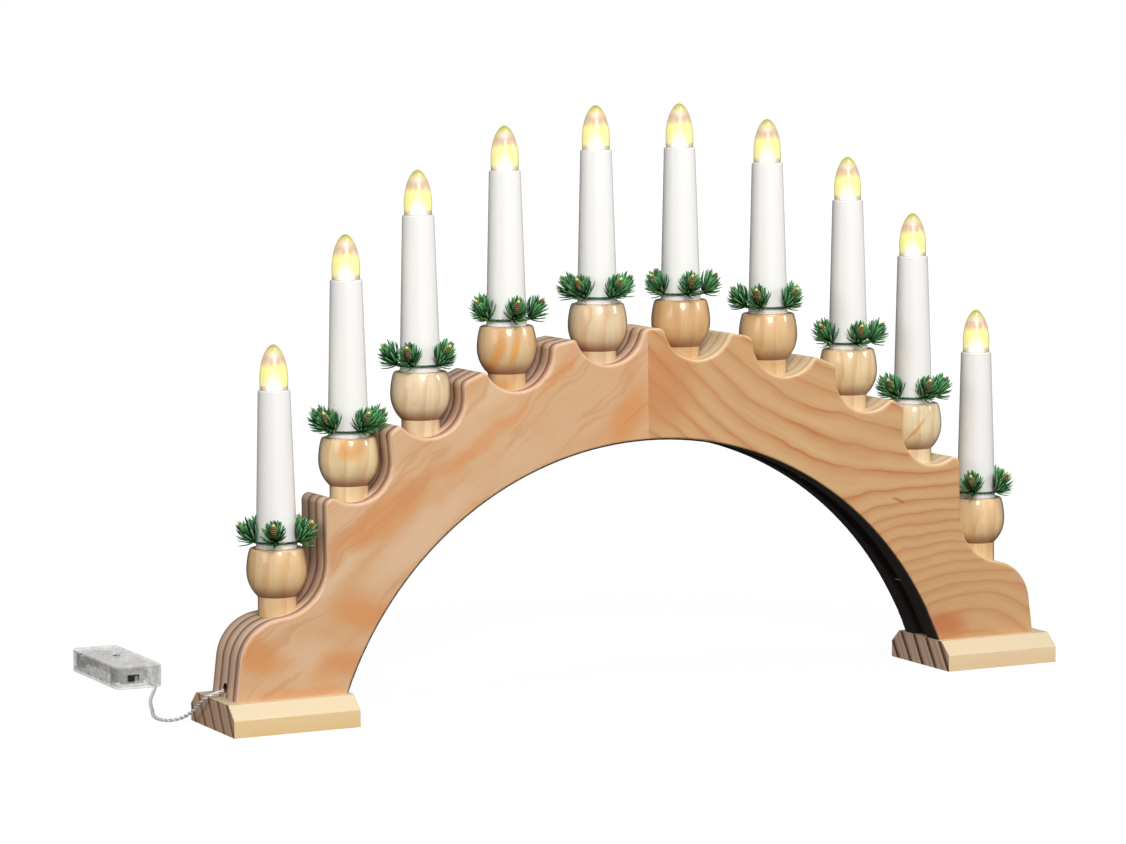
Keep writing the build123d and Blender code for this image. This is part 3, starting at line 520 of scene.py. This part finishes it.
def lens_clear():
    """Clear lens over a lit LED, with the LED's light painted on: a glow in the lower half, a pale heart with
    a painted highlight high up, a darker painted outline, and a darker khaki tip.
    """
    glass = Finish("lens_clear_plastic", Roughness=0.28, IOR=1.42, Coat_Weight=0.1, Coat_Roughness=0.1)
    rise = glass.add("Attribute", "Fac", attribute_name="rise")
    flow = glass.noise(glass.place(), 300.0, 2.0, 0.5, 0.6)
    level = glass.sum("MULTIPLY_ADD", glass.sum("SUBTRACT", flow, 0.5), 0.09, rise)
    slant = glass.add("LayerWeight", "Facing", [("Blend", 0.5)])
    # How far from the middle of what is seen: 0 in the middle, 1 at the outline
    aside = glass.sum("SQRT", glass.sum("MULTIPLY", slant, glass.sum("SUBTRACT", 2.0, slant)))
    shell = glass.ramp(level, (0.0, 138, 122, 92), (0.06, 178, 158, 112), (0.13, 246, 238, 166),
                       (0.50, 250, 243, 158), (0.60, 230, 200, 162), (0.70, 216, 188, 162),
                       (0.82, 228, 212, 150), (0.91, 220, 208, 124), (1.0, 186, 176, 96))
    # Painted light: the heart is the LED's pale cone low down, with a painted highlight from 0.70 to 0.84 of
    # the height.
    heart = glass.ramp(level, (0.0, 255, 248, 240), (0.10, 255, 250, 240), (0.42, 253, 246, 196),
                       (0.54, 249, 237, 150), (0.62, 226, 188, 152), (0.70, 232, 210, 194),
                       (0.76, 250, 244, 240), (0.84, 246, 238, 214), (0.91, 238, 228, 150),
                       (0.98, 204, 194, 106))
    width = glass.ramp(rise, (0.0, 0.74), (0.10, 0.62), (0.42, 0.12), (0.62, 0.3), (0.80, 0.5))
    inner = glass.sum("MULTIPLY", width, 0.35)
    outer = glass.sum("MULTIPLY_ADD", width, 1.5, 0.1)
    inside = glass.mix(glass.band(aside, inner, outer, 1.0, 0.0), shell, heart)
    # Painted shade: the outline, as seen, is painted khaki brown.
    inside = glass.mix(glass.band(aside, 0.88, 1.0, 0.0, 0.55), inside, paint(168, 150, 104))
    glass.colour(glass.mix(0.5, inside, paint(0, 0, 0)))
    below_tip = glass.band(rise, 0.80, 0.92, 1.0, 0.0)
    clearness = glass.sum("MULTIPLY", glass.band(rise, 0.5, 0.7, 0.1, 0.3), below_tip)
    glass.feed(glass.shader.inputs["Transmission Weight"], clearness)
    # Painted light: the lens glows with its own colours, most in the lower half and least at the tip.
    glass.feed(glass.shader.inputs["Emission Color"], inside)
    lower, upper = glass.band(rise, 0.5, 0.65, 0.58, 0.5), glass.band(rise, 0.82, 0.94, 1.0, 0.8)
    brightness = glass.sum("MULTIPLY", lower, upper)
    glass.feed(glass.shader.inputs["Emission Strength"], brightness)
    return glass


def lamp_glow():
    """The bore inside a lens, painted with the LED's light as a glow."""
    glow = Finish("lamp_lit_bore", Roughness=0.3)
    rise = glow.add("Attribute", "Fac", attribute_name="rise")
    glow.colour(paint(255, 246, 214))
    light = glow.ramp(rise, (0.1, 255, 252, 240), (0.45, 255, 226, 120))
    glow.feed(glow.shader.inputs["Emission Color"], light)
    glow.feed(glow.shader.inputs["Emission Strength"], glow.band(rise, 0.1, 0.48, 2.2, 0.7))
    return glow


def needle_green():
    """Soft plastic needles, some darker than others and pale at the tip; painted shade makes them nearly
    black at the root and dark along their edges.
    """
    green = Finish("needle_green", Roughness=0.36)
    tip = green.add("Attribute", "Fac", attribute_name="tip")
    tone = green.add("Attribute", "Fac", attribute_name="tone")
    ridge = green.add("Attribute", "Fac", attribute_name="ridge")
    body = green.mix(tone, paint(4, 38, 18), paint(56, 146, 72))
    lit = green.sum("MULTIPLY", green.band(tip, 0.3, 0.95, 0.0, 0.65), green.band(tone, 0.0, 0.8, 0.35, 1.0))
    body = green.mix(lit, body, paint(128, 204, 138))
    # Painted shade: each needle is painted near black along its edges, as the shade between needles; the
    # paler mid-rib is the needle's own.
    body = green.mix(green.band(ridge, 0.08, 0.4), paint(5, 32, 18), body)
    # Painted shade: the root part, inside the sprig, is painted near black.
    green.colour(green.mix(green.band(tip, 0.04, 0.4), paint(4, 28, 18), body))
    return green


def bud_brown():
    """Brown scales with dark gaps, with painted light making their upper side straw coloured."""
    brown = Finish("bud_golden_brown", Roughness=0.5)
    cloud = brown.noise(brown.place(), 380.0, 2.0)
    lip = brown.add("Attribute", "Fac", attribute_name="tip")
    base = brown.mix(brown.band(cloud, 0.35, 0.65), paint(56, 42, 22), paint(102, 82, 42))
    base = brown.mix(brown.band(lip, 0.2, 1.0), base, paint(138, 114, 62))
    base = brown.mix(brown.band(lip, 1.0, 2.0), base, paint(224, 204, 138))
    # Painted light: faces that look up are painted straw coloured.
    upper = brown.band(brown.facing(z_axis), 0.6, 0.95, 0.0, 0.6)
    brown.colour(brown.mix(upper, base, paint(214, 196, 130)))
    return brown


def wire_green():
    green = Finish("ring_wire_green", Roughness=0.42)
    shade = green.noise(green.place(), 500.0, 2.0)
    green.colour(green.mix(green.band(shade, 0.35, 0.65), paint(10, 52, 30), paint(34, 104, 62)))
    return green


def finish_cad_nodes():
    """Every piece of the model gets its finish; the grey vinyl is handed back for the lead."""
    white = sleeve_white()
    steel = plated_metal("zinc_plated_steel", paint(200, 200, 196), paint(160, 160, 156), 0.3)
    nickel = plated_metal("nickel_plated_spring", paint(214, 214, 212), paint(170, 170, 170), 0.22)
    wire = moulded_plastic("wire_grey_vinyl", paint(214, 213, 210), paint(196, 195, 192), 0.45)
    # Painted shade: the harness in the underside groove is painted near black, as the shade there.
    harness_wire_shaded = moulded_plastic("harness_vinyl_painted_shade", paint(40, 26, 20), paint(26, 18, 14), 0.6)
    black = moulded_plastic("slider_black", paint(22, 22, 22), paint(34, 34, 34), 0.4)
    grey = moulded_plastic("switch_grey", paint(172, 172, 172), paint(152, 152, 152), 0.45)
    holder = moulded_plastic("holder_white", paint(236, 234, 230), paint(226, 224, 220), 0.5)
    amber = moulded_plastic("led_resin", paint(255, 244, 206), paint(255, 238, 190), 0.2)
    amber.shader.inputs["Emission Color"].default_value = paint(255, 246, 214)
    amber.shader.inputs["Emission Strength"].default_value = 1.5
    case = clear_case()
    finish_nodes(left_arch_wood(), "arch_left_half")
    finish_nodes(right_arch_wood(), "arch_right_half")
    finish_nodes(foot_wood(), "left_foot", "right_foot")
    finish_nodes(raw_wood(), "joint_dowels")
    finish_nodes(cup_wood(), *["candle_cup_%02d" % n for n in candle_numbers])
    finish_nodes(white, *["candle_sleeve_%02d" % n for n in candle_numbers])
    finish_nodes(steel, "foot_screws", "wire_staples", "cover_screw")
    finish_nodes(nickel, "contact_springs", "contact_plates")
    finish_nodes(harness_wire_shaded, "harness_trunk")
    finish_nodes(wire, "lamp_leads", "case_wires")
    finish_nodes(black, "switch_slider")
    finish_nodes(grey, "switch_body")
    finish_nodes(holder, "led_holders")
    finish_nodes(amber, "leds")
    finish_nodes(case, "battery_case_shell", "battery_cover")
    return wire


# Shapes
# The radius, in mm, that closes a turned piece's end
closed_end = 0.01


def lathe(name, profile, segments):
    """A turned piece: a ring is extruded from each (radius, height), in mm, to the next and resized."""
    deselect()
    rings = [(radius * MM, height * MM) for radius, height in profile]
    radius, height = rings[0]
    bpy.ops.mesh.primitive_circle_add(vertices=segments, radius=radius, location=(0, 0, height))
    piece = bpy.context.object
    piece.name = name
    bpy.ops.object.transform_apply(location=True)
    bpy.ops.object.mode_set(mode="EDIT")
    bpy.ops.mesh.select_all(action="SELECT")
    for next_radius, next_height in rings[1:]:
        rise = next_height - height
        bpy.ops.mesh.extrude_region_move(TRANSFORM_OT_translate={"value": (0, 0, rise)})
        growth = next_radius / radius
        bpy.ops.transform.resize(value=(growth, growth, 1), center_override=(0, 0, next_height))
        radius, height = next_radius, next_height
    bpy.ops.mesh.select_all(action="SELECT")
    bpy.ops.mesh.remove_doubles(threshold=0.00005)
    bpy.ops.mesh.normals_make_consistent(inside=False)
    bpy.ops.object.mode_set(mode="OBJECT")
    bpy.ops.object.shade_smooth_by_angle(angle=math.radians(38))
    return piece


def mark(piece, name, value):
    """Stores a number at each point of a piece, worked out from where the point is."""
    numbers = piece.data.attributes.new(name, "FLOAT", "POINT")
    for point, number in zip(piece.data.vertices, numbers.data):
        number.value = value(point.co)


def copy_of(piece, name, placing):
    """A copy with its own mesh, moved there by a matrix."""
    twin = piece.copy()
    twin.data = piece.data.copy()
    twin.name = name
    twin.data.name = name
    twin.data.transform(placing)
    bpy.context.scene.collection.objects.link(twin)
    return twin


def join(name, pieces):
    """One piece made of several."""
    pick(*pieces)
    bpy.ops.object.join()
    whole = bpy.context.object
    whole.name = name
    whole.data.name = name
    return whole


def remove(*pieces):
    for piece in pieces:
        bpy.data.objects.remove(piece)


def drawn_line(name, kind, places):
    """A curve in space with its points at these places."""
    line = bpy.data.curves.new(name, "CURVE")
    line.dimensions = "3D"
    spline = line.splines.new(kind)
    spline.points.add(len(places) - 1)
    for point, place in zip(spline.points, places):
        point.co = (*place, 1)
    holder = bpy.data.objects.new(name, line)
    bpy.context.scene.collection.objects.link(holder)
    return holder


def bent_wire(name, places, radius, roundness, closed=False):
    """A thin round wire that runs from place to place, as a mesh."""
    wire = drawn_line(name, "POLY", places)
    wire.data.bevel_depth = radius
    wire.data.bevel_resolution = roundness
    wire.data.use_fill_caps = not closed
    wire.data.splines[0].use_cyclic_u = closed
    pick(wire)
    bpy.ops.object.convert(target="MESH")
    return bpy.context.object


# Lenses
lens_height = 24.0 * MM


def lens_pattern(clear, glow):
    """A clear flame: bore and seat inside, spigot below, widest at a fifth of its height."""
    bore = [(closed_end, 11.5), (0.7, 10.7), (1.2, 9.2), (1.6, 7.6), (2.1, 5.0), (2.75, 1.2), (3.1, 0.3),
            (3.1, -4.0)]
    outside = [(4.7, -4.0), (5.0, -3.7), (5.0, 0.0), (7.1, 0.0), (7.4, 0.3), (7.5, 2.0), (7.6, 5.0)]
    widest, widest_height = outside[-1]
    top_steps = 18
    top = []
    for step in range(1, top_steps):
        turn = step / top_steps * math.pi / 2
        top.append((widest * math.cos(turn) ** 1.1, widest_height + 19.0 * math.sin(turn)))
    lens = lathe("lens_pattern", bore + outside + top + [(closed_end, 24.0)], 48)
    mark(lens, "rise", lambda point: max(0.0, point.z / lens_height))
    lens.data.materials.append(clear.material)
    lens.data.materials.append(glow.material)
    # The bore is given the painted glow, but not its mouth in the spigot
    lit_radius, lit_low, lit_high = 3.0 * MM, 0.2 * MM, 11.6 * MM
    for face in lens.data.polygons:
        centre = face.center
        if math.hypot(centre.x, centre.y) < lit_radius and lit_low < centre.z < lit_high:
            face.material_index = 1
    return lens


def add_lenses():
    pattern = lens_pattern(lens_clear(), lamp_glow())
    for number in candle_numbers:
        low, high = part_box("flame_lens_%02d" % number)
        seat = Vector(((low.x + high.x) / 2, (low.y + high.y) / 2, high.z - lens_height))
        lens = copy_of(pattern, "flame_lens_shaped_%02d" % number, Matrix.Translation(seat))
        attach(lens, "arch")
        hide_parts("flame_lens_%02d" % number)
    remove(pattern)


# Wreaths
def needle_pattern(green, bend):
    """A flat needle one metre long on X: four-sided, blunt, bent up along its length."""
    deselect()
    bpy.ops.mesh.primitive_cylinder_add(vertices=4, radius=1, depth=1, location=(0.5, 0, 0),
                                        rotation=(0, math.pi / 2, 0))
    needle = bpy.context.object
    needle.name = "needle_pattern"
    bpy.ops.object.transform_apply(location=True, rotation=True)
    bpy.ops.object.mode_set(mode="EDIT")
    for cut in (0.12, 0.35, 0.6, 0.85):
        bpy.ops.mesh.select_all(action="SELECT")
        bpy.ops.mesh.bisect(plane_co=(cut, 0, 0), plane_no=(1, 0, 0))
    bpy.ops.object.mode_set(mode="OBJECT")
    half_width, half_thickness = 0.072, 0.044
    for point in needle.data.vertices:
        along, across, height = point.co
        swelling = min(1.0, 0.6 + 3 * along)
        narrowing = 1.0 - 0.25 * max(0.0, along - 0.3)
        taper = swelling * narrowing * (0.35 if along > 0.95 else 1.0)
        lift = bend * along**2
        point.co = Vector((along, across * half_width * taper, height * half_thickness * taper + lift))
    mark(needle, "ridge", lambda point: max(0.0, 1 - abs(point.y) / (0.5 * half_width)))
    mark(needle, "tip", lambda point: point.x)
    # Each copy is given its own tone
    mark(needle, "tone", lambda point: 0.5)
    needle.data.materials.append(green.material)
    return needle


def bud_pattern(brown):
    """A closed bud along Z, 10.6 mm long: seven overlapping rings of scales and a straw-coloured point."""
    scales = [(1.3, 0.5), (1.65, 1.7), (1.8, 3.0), (1.75, 4.3), (1.5, 5.6), (1.15, 6.9), (0.75, 8.1)]
    profile = [(closed_end, 0.0), (1.0, 0.1)]
    for radius, height in scales:
        profile += [(radius, height), (radius + 0.12, height + 0.95), (radius - 0.08, height + 1.05)]
    profile += [(0.35, 9.6), (closed_end, 10.6)]
    bud = lathe("bud_pattern", profile, 10)
    lips = [height + 0.9 for radius, height in scales]
    straw_above = 8.8

    def lightness(point):
        """2 on the bud's point, and 1 on each scale's lip, falling to 0 half a millimetre from it."""
        height = point.z / MM
        if height > straw_above:
            return 2.0
        return max(0.0, 1 - min(abs(height - lip) for lip in lips) / 0.5)

    mark(bud, "tip", lightness)
    bud.data.materials.append(brown.material)
    return bud


def ring_pattern(green):
    """The wreath's wire ring with a thin tie wound round it."""
    deselect()
    bpy.ops.mesh.primitive_torus_add(major_radius=ring_radius, minor_radius=ring_wire * 0.86,
                                     major_segments=72, minor_segments=8)
    ring = bpy.context.object
    ring.name = "ring_pattern"
    bpy.ops.object.shade_smooth()
    tie_turns, steps_per_turn = 34, 10
    places = []
    for n in range(tie_turns * steps_per_turn):
        around = 2 * math.pi * n / (tie_turns * steps_per_turn)
        twist = around * tie_turns
        reach = ring_radius + ring_wire * 0.9 * math.cos(twist)
        height = ring_wire * 0.9 * math.sin(twist)
        places.append((reach * math.cos(around), reach * math.sin(around), height))
    tie = bent_wire("tie_pattern", places, 0.16 * MM, 1, closed=True)
    whole = join("ring_pattern", [ring, tie])
    whole.data.materials.append(green.material)
    return whole


def twig_pattern(green):
    """The short stem that carries a sprig's needles, along Z."""
    profile = [(closed_end, 0.0), (1.0, 0.1), (1.05, 2.0), (0.9, 5.0), (0.7, 6.6), (closed_end, 6.8)]
    twig = lathe("twig_pattern", profile, 8)
    twig.data.materials.append(green.material)
    return twig


class Surroundings:
    """What a wreath's needles have to stay clear of: the wood, the cup and the candle."""

    def __init__(self, number):
        evaluated = bpy.context.evaluated_depsgraph_get()
        near = ["arch_left_half", "arch_right_half", "candle_cup_%02d" % number]
        self.trees = [BVHTree.FromObject(nodes[name], evaluated) for name in near]
        low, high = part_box("candle_cup_%02d" % number)
        self.axis = Vector(((low.x + high.x) / 2, (low.y + high.y) / 2, 0))

    def allows(self, point):
        offset = Vector((point.x - self.axis.x, point.y - self.axis.y))
        if not sleeve_clearance < offset.length < wreath_reach or abs(offset.x) > wreath_half_width:
            return False
        for tree in self.trees:
            place, normal, _, distance = tree.find_nearest(point)
            inside = distance < wall_reach and (point - place).dot(normal) < 0
            if distance < surface_gap or inside:
                return False
        return True


def needle_matrix(root, direction, lean, length):
    """Lays a needle from its root along a direction, bending towards lean."""
    forward = direction.normalized()
    up = (lean - forward * lean.dot(forward)).normalized()
    side = up.cross(forward)
    turn = Matrix((forward, side, up)).transposed().to_4x4()
    return Matrix.Translation(root) @ turn @ Matrix.Scale(length, 4)


def sprig_pieces(root, swing, around, patterns, chance):
    """One sprig on the ring: its twig, bud and needles, kept clear of what is round it."""
    needles, bud, twig = patterns
    outward = Vector((math.cos(swing), math.sin(swing), 0))
    sideways = Vector((-math.sin(swing), math.cos(swing), 0))
    axis = outward * math.cos(sprig_rise) + Vector(z_axis) * math.sin(sprig_rise)
    downward = sideways.cross(axis)
    stand = axis.to_track_quat("Z", "Y").to_matrix().to_4x4()
    pieces = [copy_of(twig, "twig", Matrix.Translation(root) @ stand),
              copy_of(bud, "bud", Matrix.Translation(root + axis * bud_foot) @ stand)]
    for n in range(needles_per_sprig):
        share = (n + 0.5) / needles_per_sprig
        start = root + axis * sprig_stem * (0.02 + 0.85 * share)
        turn = n * golden_angle
        # Those on the outer side spread wider and leave the bud in view; the others stand up behind it
        outer = max(0.0, math.cos(turn))
        # Degrees from the stem: at its foot and at its end
        widest, narrowest = 72 + 12 * outer, 30 + 28 * outer
        spread = math.radians(widest + (narrowest - widest) * share**0.8 + chance.uniform(-4, 4))
        length = needle_length * (0.92 - 0.1 * math.cos(turn)) * chance.uniform(0.95, 1.03)
        bend = bowed if share < 0.5 or outer > 0.3 else straighter
        round_stem = downward * math.cos(turn) + sideways * math.sin(turn)
        # A needle that would touch something is stood up and shortened a little, and tried again
        for _ in range(needle_tries):
            direction = axis * math.cos(spread) + round_stem * math.sin(spread)
            towards = (axis - direction * axis.dot(direction)).normalized()
            points = [start + direction * length * part + towards * bend * length * part**2
                      for part in (0.35, 0.6, 0.8, 1.0)]
            if all(around.allows(point) for point in points):
                one = copy_of(needles[bend], "needle", needle_matrix(start, direction, axis, length))
                row = int(turn / math.pi * tone_rows)
                tone = chance.uniform(*(dark_tones if row % 2 else light_tones))
                for number in one.data.attributes["tone"].data:
                    number.value = tone
                pieces.append(one)
                break
            spread *= 0.86
            length *= 0.985
    return pieces


def add_wreaths():
    """Ten wreaths, each a ring with five sprigs, turned as in the photograph."""
    green, brown, wire = needle_green(), bud_brown(), wire_green()
    ring = ring_pattern(wire)
    needles = {bend: needle_pattern(green, bend) for bend in (bowed, straighter)}
    patterns = [needles, bud_pattern(brown), twig_pattern(wire)]
    chance = random.Random(7)
    for number in candle_numbers:
        body = "wreath_%02d" % number
        low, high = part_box(body)
        around = Surroundings(number)
        centre = Vector((around.axis.x, around.axis.y, low.z + ring_wire))
        pieces = [copy_of(ring, "ring", Matrix.Translation(centre))]
        for n in range(sprigs_per_wreath):
            swing = math.radians(wreath_turn[number - 1] + 360 / sprigs_per_wreath * n)
            root = centre + ring_radius * Vector((math.cos(swing), math.sin(swing), 0))
            pieces += sprig_pieces(root, swing, around, patterns, chance)
        wreath = join("wreath_foliage_%02d" % number, pieces)
        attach(wreath, body)
        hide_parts(body)
    remove(ring, *needles.values(), *patterns[1:])


# Battery lead
def route_line(route):
    """Points close together on the route's smooth line."""
    holder = drawn_line("lead_line", "NURBS", route)
    holder.data.resolution_u = 24
    spline = holder.data.splines[0]
    spline.order_u = 3
    spline.use_endpoint_u = True
    bpy.context.view_layer.update()
    mesh = bpy.data.meshes.new_from_object(holder)
    points = [point.co.copy() for point in mesh.vertices]
    remove(holder)
    return points


def evenly_spaced(points, spacing):
    """The same line with its points a fixed distance apart, its two ends kept."""
    lengths = [0.0]
    for before, after in zip(points, points[1:]):
        lengths.append(lengths[-1] + (after - before).length)
    count = round(lengths[-1] / spacing)
    spaced, index = [], 0
    for n in range(count + 1):
        wanted = lengths[-1] * n / count
        while index < len(points) - 2 and lengths[index + 1] < wanted:
            index += 1
        run = lengths[index + 1] - lengths[index]
        share = (wanted - lengths[index]) / run if run else 0.0
        spaced.append(points[index].lerp(points[index + 1], min(1.0, share)))
    return spaced


def strand(points, phase):
    """One of the two insulated wires, winding round the lead's middle line."""
    places = []
    sideways = Vector(z_axis)
    travelled = 0.0
    for n, point in enumerate(points):
        heading = (points[min(n + 1, len(points) - 1)] - points[max(n - 1, 0)]).normalized()
        sideways = (sideways - heading * sideways.dot(heading)).normalized()
        over = heading.cross(sideways)
        if n:
            travelled += (point - points[n - 1]).length
        turn = 2 * math.pi * travelled / twist_pitch + phase
        places.append(point + (sideways * math.cos(turn) + over * math.sin(turn)) * strand_radius)
    return bent_wire("strand", places, strand_radius, 2)


def add_lead(vinyl):
    """The twisted pair from the arch's end to the battery box."""
    middle_line = evenly_spaced(route_line(lead_route), lead_step)
    lead = join("battery_lead_pair", [strand(middle_line, 0.0), strand(middle_line, math.pi)])
    bpy.ops.object.shade_smooth()
    lead.data.materials.append(vinyl.material)
    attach(lead, "arch")
    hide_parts("battery_lead")


# Room: camera, floor, world and lamps
def set_camera():
    """The photograph's own viewing place and angle."""
    bpy.ops.object.camera_add()
    camera = bpy.context.object
    camera.name = "photo_camera"
    camera.data.sensor_width = 36
    camera.data.lens = camera_lens
    camera.data.clip_end = 20
    turn = Matrix.Rotation(-camera_yaw, 4, "Z") @ Matrix.Rotation(math.pi / 2 + camera_pitch, 4, "X")
    turn = turn @ Matrix.Rotation(camera_roll, 4, "Z")
    camera.matrix_world = Matrix.Translation(camera_place) @ turn
    bpy.context.scene.camera = camera


def seen_directly(tree):
    """A value of 1 for rays from the eye and through glass, and 0 for the rest."""
    rays = tree.nodes.new("ShaderNodeLightPath")
    either = tree.nodes.new("ShaderNodeMath")
    either.operation = "MAXIMUM"
    tree.links.new(rays.outputs["Is Camera Ray"], either.inputs[0])
    tree.links.new(rays.outputs["Is Transmission Ray"], either.inputs[1])
    return either.outputs[0]


def set_floor():
    """A pale floor, white but for a faint shadow near the object, that sends little light back up."""
    deselect()
    bpy.ops.mesh.primitive_plane_add(size=14)
    floor = bpy.context.object
    floor.name = "studio_floor"
    paper = Finish("studio_floor_paper")
    paper.tree.nodes.remove(paper.shader)
    from_middle = paper.add("VectorMath", "Value", [(0, paper.place())], operation="LENGTH")
    whiter = paper.band(from_middle, 0.3, 0.7, 0.86, 1.0)
    shadowed = paper.add("BsdfDiffuse", 0, [("Color", paint(250, 250, 250))])
    white = paper.add("Emission", 0, [("Strength", 1.06)])
    shown = paper.add("MixShader", 0, [(0, whiter), (1, shadowed), (2, white)])
    bounced = paper.add("BsdfDiffuse", 0, [("Color", paint(120, 118, 114))])
    surface = paper.add("MixShader", 0, [(0, seen_directly(paper.tree)), (1, bounced), (2, shown)])
    paper.feed(paper.tree.nodes["Material Output"].inputs["Surface"], surface)
    floor.data.materials.append(paper.material)


def set_world():
    """White where it is seen, and a gentle even light on the object."""
    world = bpy.data.worlds.new("studio_world")
    bpy.context.scene.world = world
    world.use_nodes = True
    tree = world.node_tree
    background = tree.nodes["Background"]
    background.inputs["Color"].default_value = (1, 1, 1, 1)
    strength = tree.nodes.new("ShaderNodeMapRange")
    strength.inputs["To Min"].default_value = 0.22
    strength.inputs["To Max"].default_value = 1.0
    tree.links.new(seen_directly(tree), strength.inputs["Value"])
    tree.links.new(strength.outputs["Result"], background.inputs["Strength"])


def add_softbox(name, place, size, watts):
    """A round soft lamp aimed at the arch."""
    deselect()
    bpy.ops.object.light_add(type="AREA", location=place)
    lamp = bpy.context.object
    lamp.name = name
    lamp.data.shape = "DISK"
    lamp.data.size = size
    lamp.data.energy = watts
    aim = Vector(lamp_target) - Vector(place)
    lamp.rotation_euler = aim.to_track_quat("-Z", "Y").to_euler()


def set_lamps():
    add_softbox("front_softbox", (-0.5, -1.7, 1.15), 0.8, 31)
    add_softbox("high_softbox", (0.3, -0.6, 1.7), 0.35, 10)
    add_softbox("right_softbox", (1.5, -1.1, 0.8), 0.4, 8)
    add_softbox("left_softbox", (-1.7, -0.5, 0.7), 0.8, 7)


bpy.context.scene.view_settings.view_transform = "Standard"
set_camera()
set_floor()
set_world()
set_lamps()
vinyl = finish_cad_nodes()
add_lead(vinyl)
add_lenses()
add_wreaths()
